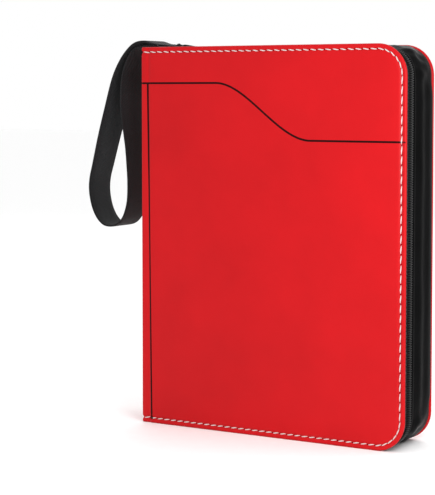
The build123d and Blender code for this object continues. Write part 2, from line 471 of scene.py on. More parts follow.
@dataclass(frozen=True)
class Finishes:
    """Every finish on the album, made once."""

    leather: Material
    print_ink: Material
    # painted shade: the near-black finish of the needle holes between the stitches
    hole: Material
    white_thread: Material
    black_thread: Material
    gusset: Material
    tape: Material
    coil: Material
    lacquer: Material
    grip: Material
    webbing: Material
    lining: Material
    binding: Material
    board: Material
    foam: Material
    leaf: Material
    film: Material
    card_faces: tuple[Material, ...]
    floor: Material

    @classmethod
    def made(cls) -> "Finishes":
        """Builds all the materials.

        Returns:
            The set of finishes.
        """
        return cls(
            leather=CoatedLeather("cover_leather", (0.48, 0.002, 0.005), (0.43, 0.0015, 0.004), 0.16).build(),
            print_ink=CoatedLeather(
                "print_ink", (0.014, 0.001, 0.002), (0.009, 0.001, 0.001), 0.1, 1.4, 0.5
            ).build(),
            # painted shade: a dull near-black finish for the needle holes, standing in for the shade inside
            # them
            hole=CoatedLeather(
                "needle_hole", (0.010, 0.001, 0.001), (0.006, 0.001, 0.001), 0.05, 1.1, 0.8
            ).build(),
            white_thread=SewingThread("white_thread", (0.72, 0.67, 0.66), (0.50, 0.44, 0.43)).build(),
            black_thread=SewingThread("black_thread", (0.035, 0.035, 0.036), (0.012, 0.012, 0.012)).build(),
            gusset=CoatedLeather(
                "gusset_cloth", (0.003, 0.003, 0.0033), (0.0015, 0.0015, 0.0015), 0.5, 1.09, 0.32,
                0.0007, 0.00004, 0.0012,
            ).build(),
            tape=Cloth(
                "zip_tape", (0.004, 0.004, 0.004), (0.022, 0.022, 0.023), Weave.ALONG_Y_AND_Z,
                0.0011, 0.0009,
            ).build(),
            coil=Moulding(
                "nylon_coil", (0.006, 0.006, 0.006), (0.016, 0.016, 0.017), 0.34, ior=1.3
            ).build(),
            lacquer=Moulding(
                "black_lacquer", (0.015, 0.015, 0.016), (0.035, 0.035, 0.037), 0.28, 0.6, 0.5
            ).build(),
            grip=Moulding("moulded_grip", (0.014, 0.014, 0.015), (0.030, 0.030, 0.031), 0.55).build(),
            webbing=Cloth(
                "strap_webbing", (0.006, 0.006, 0.0065), (0.030, 0.030, 0.032), Weave.ON_THE_STRIP,
                0.0016, 0.0014, 0.00022, 0.7, 0.05,
            ).build(),
            lining=Cloth(
                "lining_cloth", (0.012, 0.012, 0.013), (0.035, 0.035, 0.037), Weave.ALONG_X_AND_Z,
                0.0008, 0.0008,
            ).build(),
            binding=Cloth(
                "binding_cloth", (0.016, 0.016, 0.017), (0.045, 0.045, 0.047), Weave.ALONG_Y_AND_Z,
                0.0010, 0.0012,
            ).build(),
            board=Moulding("black_board", (0.010, 0.010, 0.010), (0.020, 0.020, 0.020), 0.85).build(),
            foam=Moulding("black_foam", (0.012, 0.012, 0.012), (0.022, 0.022, 0.022), 0.9).build(),
            leaf=CoatedLeather(
                "leaf_sheet", (0.016, 0.016, 0.017), (0.010, 0.010, 0.011), 0.3, 1.45, 0.5, 0.0009, 0.00006
            ).build(),
            film=ClearFilm("pocket_film", (0.22, 0.23, 0.24), (0.34, 0.35, 0.36), 0.05).build(),
            card_faces=(
                CardPrint("card_gold", (0.012, 0.012, 0.013), (0.50, 0.37, 0.20), 8).build(),
                CardPrint("card_silver", (0.010, 0.014, 0.030), (0.42, 0.44, 0.46), 12).build(),
                CardPrint("card_copper", (0.014, 0.020, 0.014), (0.46, 0.26, 0.15), 6).build(),
            ),
            floor=Moulding("studio_floor", (0.97, 0.97, 0.97), (0.99, 0.99, 0.99), 0.7).build(),
        )


# ---------------------------------------------------------------- mesh making


class MeshMaker:
    """Gathers points and faces, with strip coordinates, into one piece."""

    def __init__(self) -> None:
        """Starts with nothing."""
        self.points: list[Spot] = []
        self.faces: list[tuple[int, ...]] = []
        self.strip: dict[int, Flat] = {}

    def add(self, point: Sequence[float], strip: "Flat | None" = None) -> int:
        """Adds one point.

        Args:
            point: Its X, Y and Z.
            strip: Its place along and across a strip or on a print, where it has one.

        Returns:
            The point's number.
        """
        self.points.append((point[0], point[1], point[2]))
        if strip is not None:
            self.strip[len(self.points) - 1] = strip
        return len(self.points) - 1

    def lattice(self, rows: Sequence[Sequence[int]], closed: bool = False, looped: bool = False) -> None:
        """Joins rows of points with four-sided faces.

        Args:
            rows: The rows' point numbers, all as long as each other.
            closed: Whether each row's last point joins its first.
            looped: Whether the last row joins the first.
        """
        pairs = list(zip(rows, rows[1:]))
        if looped:
            pairs.append((rows[-1], rows[0]))
        for one, two in pairs:
            count = len(one) if closed else len(one) - 1
            for k in range(count):
                after = (k + 1) % len(one)
                self.faces.append((one[k], one[after], two[after], two[k]))

    def shut(self, rows: Sequence[Sequence[int]]) -> None:
        """Joins closed rows of points into a solid with both ends capped."""
        self.lattice(rows, closed=True)
        self.faces.append(tuple(reversed(rows[0])))
        self.faces.append(tuple(rows[-1]))

    def tube(self, rings: Sequence[Sequence[Sequence[float]]]) -> None:
        """Adds closed rings of points and shuts them."""
        self.shut([[self.add(point) for point in ring] for ring in rings])

    def finish(self, name: str, material: Material, outward: "Spot | None" = None) -> Piece:
        """Makes the Blender object.

        Args:
            name: The piece's name.
            material: Its finish.
            outward: For an open sheet, the way its seen side faces. A closed piece leaves it out.

        Returns:
            The new object, in the scene.
        """
        mesh = bpy.data.meshes.new(name)
        mesh.from_pydata(self.points, [], self.faces)
        mesh.validate()
        if outward is None:
            self._turn_out(mesh)
        else:
            way = Vector(outward)
            if sum(face.normal.dot(way) * face.area for face in mesh.polygons) < 0:
                mesh.flip_normals()
        mesh.polygons.foreach_set("use_smooth", [True] * len(mesh.polygons))
        if self.strip:
            layer = mesh.uv_layers.new(name="UVMap")
            for loop in mesh.loops:
                layer.data[loop.index].uv = self.strip.get(loop.vertex_index, (0.0, 0.0))
        mesh.materials.append(material)
        piece = bpy.data.objects.new(name, mesh)
        bpy.context.scene.collection.objects.link(piece)
        return piece

    @staticmethod
    def _turn_out(mesh: bpy.types.Mesh) -> None:
        """Turns a closed piece's faces to point out of it."""
        work = bmesh.new()
        work.from_mesh(mesh)
        bmesh.ops.recalc_face_normals(work, faces=work.faces)
        work.to_mesh(mesh)
        work.free()
        mesh.update()


def dress(node: str, material: Material) -> None:
    """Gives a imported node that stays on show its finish."""
    mesh = frame["nodes"][node].data
    mesh.materials.clear()
    mesh.materials.append(material)


def place(
    piece: Piece, body: str, replaces: Sequence[str] = (), creases: float = 0.0
) -> Piece:
    """Hangs a finished piece on its body.

    Args:
        piece: The new object.
        body: The moving body it rides on.
        replaces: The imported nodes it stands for.
        creases: If above 0, edges sharper than this many degrees stay crisp.

    Returns:
        The same object.
    """
    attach(piece, body)
    settle(piece, replaces, creases)
    return piece


def settle(piece: Piece, replaces: Sequence[str] = (), creases: float = 0.0) -> None:
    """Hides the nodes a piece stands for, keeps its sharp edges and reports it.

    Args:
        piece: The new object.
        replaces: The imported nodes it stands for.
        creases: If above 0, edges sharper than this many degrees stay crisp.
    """
    if replaces:
        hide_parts(*replaces)
    if creases:
        piece.data.set_sharp_from_angle(angle=math.radians(creases))
    LOG.info("%s: %d points", piece.name, len(piece.data.vertices))


def ring_about(
    centre: Vector, first: Vector, second: Vector, count: int, offset: float = 0.0
) -> list[Vector]:
    """Points round an oval.

    Args:
        centre: Its middle.
        first: The way and the reach of one half axis.
        second: The way and the reach of the other.
        count: How many points it has.
        offset: How far round the first point is, as a share of the gap between two.

    Returns:
        The points in order.
    """
    angles = (2 * math.pi * (k + offset) / count for k in range(count))
    return [centre + first * math.cos(angle) + second * math.sin(angle) for angle in angles]


def squared(angle: float, power: float) -> Flat:
    """A point on a rounded square.

    Args:
        angle: Its angle before the pushing out.
        power: How square it is: 1 for a circle, nearer 0 for a square.

    Returns:
        Its X and its Y, from -1 to 1.
    """
    return tuple(math.copysign(abs(share) ** power, share) for share in (math.cos(angle), math.sin(angle)))


def hump(value: float, middle: float, width: float) -> float:
    """A soft hump, 1 at its middle and nothing a few widths away."""
    return math.exp(-(((value - middle) / width) ** 2))


def smooth_step(value: float) -> float:
    """An even rise from 0 to 1."""
    value = min(1.0, max(0.0, value))
    return value * value * (3 - 2 * value)


def curve_through(points: Sequence[Flat], step: float) -> list[Flat]:
    """A smooth line through chosen points.

    Args:
        points: The points it goes through, in a plane.
        step: About how far apart the new points are.

    Returns:
        Points along the line, evenly spaced within each stretch.
    """
    ends = [
        (2 * points[0][0] - points[1][0], 2 * points[0][1] - points[1][1]),
        *points,
        (2 * points[-1][0] - points[-2][0], 2 * points[-1][1] - points[-2][1]),
    ]
    line = []
    for a, b, c, d in zip(ends, ends[1:], ends[2:], ends[3:]):
        count = max(2, round(math.dist(b, c) / step))
        for k in range(count):
            t = k / count
            line.append(tuple(
                0.5 * (2 * q + (r - p) * t + (2 * p - 5 * q + 4 * r - s) * t**2
                       + (3 * q - p - 3 * r + s) * t**3)
                for p, q, r, s in zip(a, b, c, d)
            ))
    line.append(tuple(points[-1]))
    return line


# ---------------------------------------------------------------- the case's shape


@dataclass(frozen=True)
class Case:
    """Where the closed case lies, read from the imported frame."""

    spine: float
    crease: float
    fore: float
    height: float
    front: float
    back: float
    thickness: float
    corner: float = 17.5 * MM
    edge_round: float = 0.9 * MM
    crease_half: float = 1.3 * MM

    @classmethod
    def measured(cls) -> "Case":
        """Reads the case's sizes from the frame.

        Returns:
            The case.
        """
        low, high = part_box("spine_skin")
        cover_low, cover_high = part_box("front_skin")
        hinge = next(joint for joint in frame["joints"] if joint["name"] == "front_cover_hinge")
        return cls(
            spine=low[0],
            crease=hinge["pos_m"][0],
            fore=cover_high[0],
            height=high[2],
            front=low[1],
            back=high[1],
            thickness=cover_high[1] - cover_low[1],
        )

    def face(self, side: Side) -> float:
        """The Y of a cover's outer face."""
        return self.front if side is Side.FRONT else self.back

    def bend(self, piece: Piece, side: Side) -> None:
        """Bakes a piece's placement into its points; the piece does not bend at the crease between the spine
        and a cover.

        Args:
            piece: The object that reaches across the crease.
            side: The side whose cover it is; not used.
        """
        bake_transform(piece)


@dataclass(frozen=True)
class RimPath:
    """The way round the case's three free sides, from the top of the spine to its bottom."""

    case: Case
    start: float

    @property
    def straight(self) -> float:
        """The length of the top run, and of the bottom one."""
        return self.case.fore - self.case.corner - self.start

    @property
    def bend(self) -> float:
        """The length of each corner's arc."""
        return self.case.corner * math.pi / 2

    @property
    def length(self) -> float:
        """The whole length."""
        return 2 * self.straight + 2 * self.bend + self.case.height - 2 * self.case.corner

    def at(self, run: float) -> tuple[float, float, float, float]:
        """A place on the outline.

        Args:
            run: How far along the path it is.

        Returns:
            Its X and Z, and the outward direction's X and Z.
        """
        case = self.case
        side_run = case.height - 2 * case.corner
        if run > self.length / 2:
            x, z, out_x, out_z = self.at(self.length - run)
            return x, case.height - z, out_x, -out_z
        if run <= self.straight:
            return self.start + run, case.height, 0.0, 1.0
        if run <= self.straight + self.bend:
            angle = math.pi / 2 - (run - self.straight) / case.corner
            out_x, out_z = math.cos(angle), math.sin(angle)
            centre_x, centre_z = case.fore - case.corner, case.height - case.corner
            return centre_x + case.corner * out_x, centre_z + case.corner * out_z, out_x, out_z
        down = run - self.straight - self.bend
        return case.fore, case.height - case.corner - min(down, side_run), 1.0, 0.0

    def frame(self, run: float, inset: float = 0.0, y: float = 0.0) -> tuple[Vector, Vector, Vector]:
        """A place inside the outline, with the ways it faces.

        Args:
            run: How far along the path it is.
            inset: How far inside the outline it is.
            y: Its Y.

        Returns:
            The place, the way along the path and the way out of the case.
        """
        x, z, out_x, out_z = self.at(run)
        spot = Vector((x - out_x * inset, y, z - out_z * inset))
        return spot, Vector((out_z, 0.0, -out_x)), Vector((out_x, 0.0, out_z))

    def stations(self, step: float) -> list[float]:
        """Even steps along the path, closer round the corners.

        Args:
            step: About how far apart they are on the straights.

        Returns:
            How far along the path each one is.
        """
        marks = [0.0]
        fore_run = self.case.height - 2 * self.case.corner
        stretches = [self.straight, self.bend, fore_run, self.bend, self.straight]
        for number, stretch in enumerate(stretches):
            count = CORNER_STEPS if number in (1, 3) else max(1, round(stretch / step))
            marks += [marks[-1] + stretch * (k + 1) / count for k in range(count)]
        return marks


def rim_wall(
    path: RimPath, marks: Sequence[float], profile: Callable[[float], list[Flat]], thick: float
) -> MeshMaker:
    """A wall that follows the rim.

    Args:
        path: The rim.
        marks: How far along the rim each of its rings stands.
        profile: Gives the inset and the Y of each point across the wall's outside, for a place on the rim.
        thick: How thick the wall is.

    Returns:
        The mesh, not yet finished.
    """
    maker, rings = MeshMaker(), []
    for run in marks:
        line = profile(run)
        inside = [(inset + thick, y) for inset, y in reversed(line)]
        rings.append([path.frame(run, inset, y)[0] for inset, y in line + inside])
    maker.tube(rings)
    return maker


@dataclass(frozen=True)
class LeatherSection:
    """How the cover leather rolls over its edge: a bead, the seam's groove, then the flat."""

    seam: float = 3.0 * MM
    groove: float = 0.78 * MM
    flat: float = 10.0 * MM
    crown: float = 0.45 * MM
    crown_reach: float = 18.0 * MM
    crease_depth: float = 0.45 * MM
    crease_reach: float = 1.6 * MM

    def rows(self, thickness: float) -> list[Flat]:
        """The section's shape, from the edge turned under to the flat.

        Args:
            thickness: The thickness of the whole cover.

        Returns:
            The inset and the depth of each row of points.
        """
        seam, groove = self.seam, self.groove
        return [
            (2.0 * MM, thickness * 0.62),
            (0.9 * MM, thickness * 0.60),
            (0.3 * MM, thickness * 0.50),
            (0.0, 1.05 * MM),
            (0.08 * MM, 0.6 * MM),
            (0.35 * MM, 0.25 * MM),
            (0.75 * MM, 0.05 * MM),
            (1.2 * MM, 0.0),
            (seam - 1.0 * MM, 0.10 * MM),
            (seam - 0.55 * MM, groove * 0.55),
            (seam - 0.2 * MM, groove * 0.95),
            (seam + 0.2 * MM, groove * 0.95),
            (seam + 0.6 * MM, groove * 0.5),
            (seam + 1.2 * MM, groove * 0.14),
            (seam + 2.2 * MM, 0.0),
            (self.flat, -0.02 * MM),
        ]

    def depth_at(self, case: Case, x: float, z: float) -> float:
        """How deep below the outer plane the leather lies at a place on a cover.

        Args:
            case: The case.
            x: The place's X.
            z: The place's Z.

        Returns:
            The depth, below 0 where the leather stands proud.
        """
        inset = min(z, case.height - z, case.fore - x)
        corner_x = x - (case.fore - case.corner)
        corner_z = abs(z - case.height / 2) - (case.height / 2 - case.corner)
        if corner_x > 0 and corner_z > 0:
            inset = case.corner - math.hypot(corner_x, corner_z)
        rows = self.rows(case.thickness)[3:]
        insets = [row[0] for row in rows]
        if inset < self.flat:
            k = max(1, bisect_right(insets, inset))
            low, high = rows[k - 1], rows[min(k, len(rows) - 1)]
            share = (inset - low[0]) / max(high[0] - low[0], 1e-9)
            depth = low[1] + (high[1] - low[1]) * share
        else:
            depth = rows[-1][1]
        return depth + self.valley(case, x) - self.swell(case, x, z)

    def swell(self, case: Case, x: float, z: float) -> float:
        """How far the padding lifts the leather at a place.

        Args:
            case: The case.
            x: The place's X.
            z: The place's Z.

        Returns:
            The lift, in metres.
        """
        reaches = (
            min(z, case.height - z) - self.flat,
            case.fore - self.flat - x,
            x - case.crease - 2 * MM,
        )
        lift = self.crown
        for reach in reaches:
            lift *= 1 - math.exp(-max(0.0, reach) / self.crown_reach)
        return lift

    def valley(self, case: Case, x: float) -> float:
        """How deep the hinge crease is at a place."""
        return self.crease_depth * (1 - smooth_step(abs(x - case.crease) / self.crease_reach))


@dataclass
class CoverLeather:
    """The red leather of one cover, from the spine's corner to the fore edge, with its seam."""

    case: Case
    side: Side
    finishes: Finishes
    section: LeatherSection = LeatherSection()
    stitch_pitch: float = 4.6 * MM
    fore_pitch: float = 5.5 * MM
    stitch_share: float = 0.9
    thread_radius: float = 0.33 * MM
    slant: float = 11.0
    fore_slant: float = 6.0
    wander: float = 1.5
    dive: float = 0.32 * MM
    ply: float = 0.13
    twist: float = 7.0
    hole_radius: float = 0.42 * MM
    fine_pitch: float = 0.45 * MM

    @property
    def thread_depth(self) -> float:
        """How deep in the leather the thread's middle lies."""
        return self.section.groove - self.thread_radius * 0.75

    def columns(self) -> list[tuple[float, float, float, float]]:
        """The upright lines of points from the spine's corner to the fore edge's bend.

        Returns:
            Each one's X, its depth, and the way deeper is, along X and inwards along Y.
        """
        case, corner_columns, fine_columns, wide_columns = self.case, 4, 19, 26
        columns = []
        for k in range(corner_columns + 1):
            angle = math.pi / 2 * k / corner_columns
            across, inwards = math.cos(angle), math.sin(angle)
            x = case.spine + case.edge_round * (1 - across)
            columns.append((x, case.edge_round * (1 - inwards), across, inwards))
        fine = [case.spine + k * self.fine_pitch for k in range(3, fine_columns + 1)]
        wide = case.fore - case.corner - fine[-1]
        flat = fine + [fine[-1] + wide * (k + 1) / wide_columns for k in range(wide_columns)]
        return columns + [(x, 0.0, 0.0, 1.0) for x in flat]

    def build(self) -> None:
        """Builds the leather, its stitching and the needle-hole shade, and bakes each one's placement."""
        leather = self._panel()
        self.case.bend(leather, self.side)
        settle(leather, [f"{self.side.word}_skin"])
        for piece in (self._seam(), self._needle_holes()):
            self.case.bend(piece, self.side)
            settle(piece)

    def _spot(self, x: float, z: float, depth: float, way: Flat = (0.0, 1.0), base: float = 0.0) -> Spot:
        """A point in the leather.

        Args:
            x: Its X before any slant.
            z: Its Z.
            depth: How deep it is.
            way: The way deeper is, along X and inwards along Y.
            base: How deep the outside is here, inwards along Y.

        Returns:
            The point.
        """
        y = self.case.face(self.side) - self.side.value * (way[1] * depth + base)
        return (x + way[0] * depth, y, z)

    def _panel(self) -> Piece:
        """The leather itself, all in four-sided faces.

        Returns:
            The object.
        """
        case, section, maker = self.case, self.section, MeshMaker()
        rows = section.rows(case.thickness)
        arc_count, fore_count = 12, 40
        columns = self.columns()
        stations = [(x, case.height, 0.0, 1.0, base, (ax, ay)) for x, base, ax, ay in columns]
        for k in range(1, arc_count + 1):
            angle = math.pi / 2 * (1 - k / arc_count)
            out_x, out_z = math.cos(angle), math.sin(angle)
            x = case.fore - case.corner + case.corner * out_x
            z = case.height - case.corner + case.corner * out_z
            stations.append((x, z, out_x, out_z, 0.0, (0.0, 1.0)))

        def strip(low_half: bool) -> list[list[int]]:
            """The rows of points down the edge at each station.

            Args:
                low_half: Whether they go round the bottom, as a mirror of the top.

            Returns:
                The points' numbers, row by row.
            """
            grid = []
            for x, z, out_x, out_z, base, way in stations:
                line = []
                for inset, depth in rows:
                    px, pz = x - out_x * inset, z - out_z * inset
                    pz = case.height - pz if low_half else pz
                    line.append(maker.add(self._spot(px, pz, depth + section.valley(case, px), way, base)))
                grid.append(line)
            return grid

        top, bottom = strip(False), strip(True)
        fore = [top[-1]]
        for k in range(1, fore_count):
            z = case.height - case.corner - (case.height - 2 * case.corner) * k / fore_count
            fore.append([maker.add(self._spot(case.fore - inset, z, depth)) for inset, depth in rows])
        fore.append(bottom[-1])
        maker.lattice(top)
        maker.lattice([list(reversed(line)) for line in bottom])
        maker.lattice(fore)
        middle = []
        for number, (x, z, out_x, out_z, base, way) in enumerate(stations):
            if number == len(stations) - 1:
                middle.append([line[-1] for line in fore])
                continue
            line = [top[number][-1]]
            px, pz = x - out_x * section.flat, z - out_z * section.flat
            for k in range(1, fore_count):
                z_here = pz + (case.height - 2 * pz) * k / fore_count
                depth = rows[-1][1] + section.valley(case, px) - section.swell(case, px, z_here)
                line.append(maker.add(self._spot(px, z_here, depth, way, base)))
            line.append(bottom[number][-1])
            middle.append(line)
        maker.lattice(middle)
        return maker.finish(f"{self.side.word}_leather", self.finishes.leather, (0.0, self.side.value, 0.0))

    def _marks(self, path: RimPath) -> list[Flat]:
        """The stitches of the seam, longer down the fore edge.

        Args:
            path: The rim that the seam follows.

        Returns:
            Where each one starts along the path, and how long its pitch is.
        """
        turn = path.straight + path.bend
        marks = []
        for start, stop, pitch in (
            (0.0, turn, self.stitch_pitch),
            (turn, path.length - turn, self.fore_pitch),
            (path.length - turn, path.length, self.stitch_pitch),
        ):
            count = round((stop - start) / pitch)
            marks += [(start + (stop - start) * k / count, (stop - start) / count) for k in range(count)]
        return marks

    def _seam(self) -> Piece:
        """The row of white stitches round the three free sides.

        Returns:
            The object.
        """
        path = RimPath(self.case, self.case.spine + 1.0 * MM)
        maker = MeshMaker()
        chance = random.Random(7 + self.side.value)
        lift = Vector((0.0, self.side.value, 0.0))
        for start, pitch in self._marks(path):
            spot, along, out = path.frame(start + pitch / 2, self.section.seam)
            wander = chance.uniform(-self.wander, self.wander)
            lean = math.radians(wander - self.slant * out.z - self.fore_slant * out.x)
            along = (along * math.cos(lean) + out * math.sin(lean)).normalized()
            depth = self.thread_depth + self.section.valley(self.case, spot.x)
            centre = Vector(self._spot(spot.x, spot.z, depth))
            self.stitch(maker, centre, along, lift, pitch * self.stitch_share)
        return maker.finish(f"{self.side.word}_stitches", self.finishes.white_thread)

    def _needle_holes(self) -> Piece:
        """Near-black pits between the stitches, where the thread goes through: painted shade in the needle
        holes.

        Returns:
            The object.
        """
        path = RimPath(self.case, self.case.spine + 1.0 * MM)
        maker = MeshMaker()
        lift = Vector((0.0, self.side.value * MM, 0.0))
        for start, _ in self._marks(path)[1:]:
            spot, along, out = path.frame(start, self.section.seam)
            depth = self.section.groove - 0.05 * MM + self.section.valley(self.case, spot.x)
            centre = Vector(self._spot(spot.x, spot.z, depth))
            along, out = along * self.hole_radius, out * self.hole_radius
            maker.tube([
                ring_about(centre + lift * rise, along * size, out * size, 8)
                for rise, size in ((0.10, 0.35), (0.06, 0.85), (0.0, 1.0), (-0.10, 0.6))
            ])
        return maker.finish(f"{self.side.word}_needle_holes", self.finishes.hole)

    def stitch(self, maker: MeshMaker, centre: Vector, along: Vector, lift: Vector, length: float) -> None:
        """One stitch of two twisted plies that dives into the leather at both ends.

        Args:
            maker: The mesh it joins.
            centre: Its middle.
            along: The way it runs.
            lift: The way it stands up from the leather.
            length: How long it is.
        """
        across = along.cross(lift).normalized()
        rings, steps, sides = [], 8, 8
        for step in range(steps + 1):
            u = 2 * step / steps - 1
            radius = self.thread_radius * max(0.22, (1 - abs(u) ** 3.2)) ** 0.5
            middle = centre + along * (u * length / 2) - lift * (self.dive * u * u)
            ring = []
            for k in range(sides):
                angle = 2 * math.pi * k / sides
                reach = radius * (1 + self.ply * math.cos(2 * angle - self.twist * u))
                ring.append(middle + (across * math.cos(angle) + lift * math.sin(angle) * 0.85) * reach)
            rings.append(ring)
        maker.tube(rings)


@dataclass
class SpineLeather:
    """The leather over the spine's outer face."""

    case: Case
    finishes: Finishes
    section: LeatherSection = LeatherSection()
    bow: float = 0.35 * MM

    def build(self) -> None:
        """Builds the spine's face and its two short seams."""
        case, maker = self.case, MeshMaker()
        rows = self.section.rows(case.thickness)
        low, high = case.front + case.edge_round, case.back - case.edge_round
        grid = []
        count, middle_count = 16, 24
        for k in range(count + 1):
            share = k / count
            y = low + (high - low) * share
            bow = self.bow * math.sin(math.pi * share)
            line = [maker.add((case.spine + depth, y, case.height - inset)) for inset, depth in rows]
            top_z, low_z = case.height - rows[-1][0], rows[-1][0]
            for m in range(1, middle_count):
                rise = math.sin(math.pi * m / middle_count)
                z = top_z + (low_z - top_z) * m / middle_count
                line.append(maker.add((case.spine + rows[-1][1] - bow * rise**0.5, y, z)))
            line += [maker.add((case.spine + depth, y, inset)) for inset, depth in reversed(rows)]
            grid.append(line)
        maker.lattice(grid)
        face = maker.finish("spine_leather", self.finishes.leather, (-1.0, 0.0, 0.0))
        place(face, "spine", ["spine_skin"])
        self._seams(low, high)

    def _seams(self, low: float, high: float) -> None:
        """The stitches along the spine's top and bottom edges.

        Args:
            low: The Y of the seams' front end.
            high: The Y of their back end.
        """
        maker = MeshMaker()
        cover = CoverLeather(self.case, Side.FRONT, self.finishes)
        count = int((high - low) / cover.stitch_pitch)
        length = cover.stitch_pitch * cover.stitch_share
        lean, lift = Vector((0.0, 1.0, 0.12)).normalized(), Vector((-1.0, 0.0, 0.0))
        x = self.case.spine + cover.thread_depth
        for z in (self.case.height - self.section.seam, self.section.seam):
            for number in range(count):
                y = low + (high - low) * (number + 0.5) / count
                cover.stitch(maker, Vector((x, y, z)), lean, lift, length)
        seams = maker.finish("spine_stitches", self.finishes.white_thread)
        place(seams, "spine")


@dataclass
class PrintedLines:
    """The thin dark lines printed on the front cover: one soft wave across it and one beside the crease."""

    case: Case
    finishes: Finishes
    section: LeatherSection = LeatherSection()
    width: float = 1.15 * MM
    proud: float = 0.06 * MM
    high_share: float = 0.905
    low_share: float = 0.7605
    bend_from: float = 0.30
    bend_to: float = 0.66
    hinge_offset: float = 4.5 * MM
    hinge_lean: float = 2.4 * MM
    spine_margin: float = 0.35 * MM
    fore_margin: float = 0.3 * MM
    wave_steps: int = 260
    hinge_steps: int = 60

    def build(self) -> None:
        """Prints both lines on the leather."""
        case = self.case
        wide = case.fore - case.spine
        high, low = case.height * self.high_share, case.height * self.low_share
        start, stop = case.spine + wide * self.bend_from, case.spine + wide * self.bend_to
        first, last = case.spine + self.spine_margin, case.fore - self.fore_margin
        places = (first + (last - first) * k / self.wave_steps for k in range(self.wave_steps + 1))
        wave = [(x, high + (low - high) * smooth_step((x - start) / (stop - start))) for x in places]
        hinge_low = self.section.seam - 0.2 * MM
        hinge_x, hinge_z = case.spine + self.hinge_offset, high - self.width / 2
        hinge = [
            (hinge_x + self.hinge_lean * share, hinge_z + (hinge_low - high) * share)
            for share in (k / self.hinge_steps for k in range(self.hinge_steps + 1))
        ]
        self._line("printed_wave", wave)
        self._line("printed_hinge_line", hinge)

    def _line(self, name: str, line: Sequence[Flat]) -> None:
        """One printed line that follows the leather's relief.

        Args:
            name: The piece's name.
            line: The X and Z of the points along its middle.
        """
        maker, grid, bend = MeshMaker(), [], self.case.edge_round
        for k, (x, z) in enumerate(line):
            before, after = line[max(0, k - 1)], line[min(len(line) - 1, k + 1)]
            run = Vector((after[0] - before[0], after[1] - before[1])).normalized()
            row = []
            for m in range(5):
                off = self.width * (m / 4 - 0.5)
                px, pz = x - run.y * off, z + run.x * off
                edge = 0.0 if m in (0, 4) else self.proud
                short = min(bend, max(0.0, self.case.spine + bend - px))
                turn = bend - math.sqrt(bend**2 - short**2)
                depth = self.section.depth_at(self.case, px, pz) + turn - edge
                row.append(maker.add((px, self.case.front + depth, pz)))
            grid.append(row)
        maker.lattice(grid)
        piece = maker.finish(name, self.finishes.print_ink, (0.0, -1.0, 0.0))
        self.case.bend(piece, Side.FRONT)
        settle(piece)


# ---------------------------------------------------------------- gusset and zip


@dataclass
class Gusset:
    """The deep black wall on the back cover, soft enough to pucker at its corners.

    Its shares run across its depth, from 0 at the zip to 1 at the back cover.
    """

    case: Case
    finishes: Finishes
    wall: float = 1.1 * MM
    rows: int = 20
    hem: float = 0.55 * MM
    seam: float = 0.35 * MM
    belly: float = 1.5 * MM
    fore_belly: float = 1.0 * MM
    fore_fade: float = 12 * MM
    tuck: float = 0.3 * MM
    pucker: float = 0.5 * MM
    pucker_reach: float = 20 * MM
    sag: float = 0.2 * MM

    def build(self) -> None:
        """Builds the wall with its hem, its seam and its puckers."""
        low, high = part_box("back_gusset")
        inset = self.case.fore - high[0]
        path = RimPath(self.case, low[0] + 0.1 * MM)

        def profile(run: float) -> list[Flat]:
            """The wall's outside at a place on the rim."""
            deep = high[1] - low[1]
            shares = [k / self.rows for k in range(self.rows + 1)]
            return [(inset - self._stand(run, path, share), low[1] + deep * share) for share in shares]

        wall = rim_wall(path, path.stations(3.0 * MM), profile, self.wall)
        place(wall.finish("gusset_wall", self.finishes.gusset), "back_case", ["back_gusset"])

    def _stand(self, run: float, path: RimPath, share: float) -> float:
        """How far the wall stands out at a place.

        Args:
            run: How far round the rim it is.
            path: The rim.
            share: Its share of the wall's depth.

        Returns:
            The distance, in metres.
        """
        past_top = run - path.straight - path.bend
        past_bottom = path.length - path.straight - path.bend - run
        fore = smooth_step(past_top / self.fore_fade) * smooth_step(past_bottom / self.fore_fade)
        shape = self.hem * hump(share, 0.05, 0.05) - self.seam * hump(share, 0.15, 0.03)
        shape += self.belly * smooth_step((share - 0.15) / 0.3) - self.tuck * hump(share, 1.0, 0.02)
        shape += self.fore_belly * fore * smooth_step((share - 0.55) / 0.3)
        corners = (path.straight + path.bend / 2, path.length - path.straight - path.bend / 2)
        near = sum(hump(run, corner, self.pucker_reach) for corner in corners)
        fade = math.sin(math.pi * share)
        ripple = math.sin(run / (2.6 * MM) + 6.0 * share) * fade**0.7
        ripple += 0.6 * math.sin(run / (1.35 * MM) - 9.0 * share + 1.0) * fade
        long_wave = math.sin(run / (21 * MM)) * math.sin(run / (8.3 * MM) + 2.0) * fade
        return shape + self.pucker * near * (ripple - 0.6) + self.sag * long_wave


def chain_rise(path: RimPath, run: float) -> float:
    """How much of its bow the zip has: none where the slider runs, all round the fore edge.

    Args:
        path: The rim.
        run: How far along it the place is.

    Returns:
        The share of the bow, from 0 to 1.
    """
    after_corner = smooth_step((run - path.straight) / path.bend)
    before_end = smooth_step((path.length - run) / (30 * MM))
    return after_corner * before_end


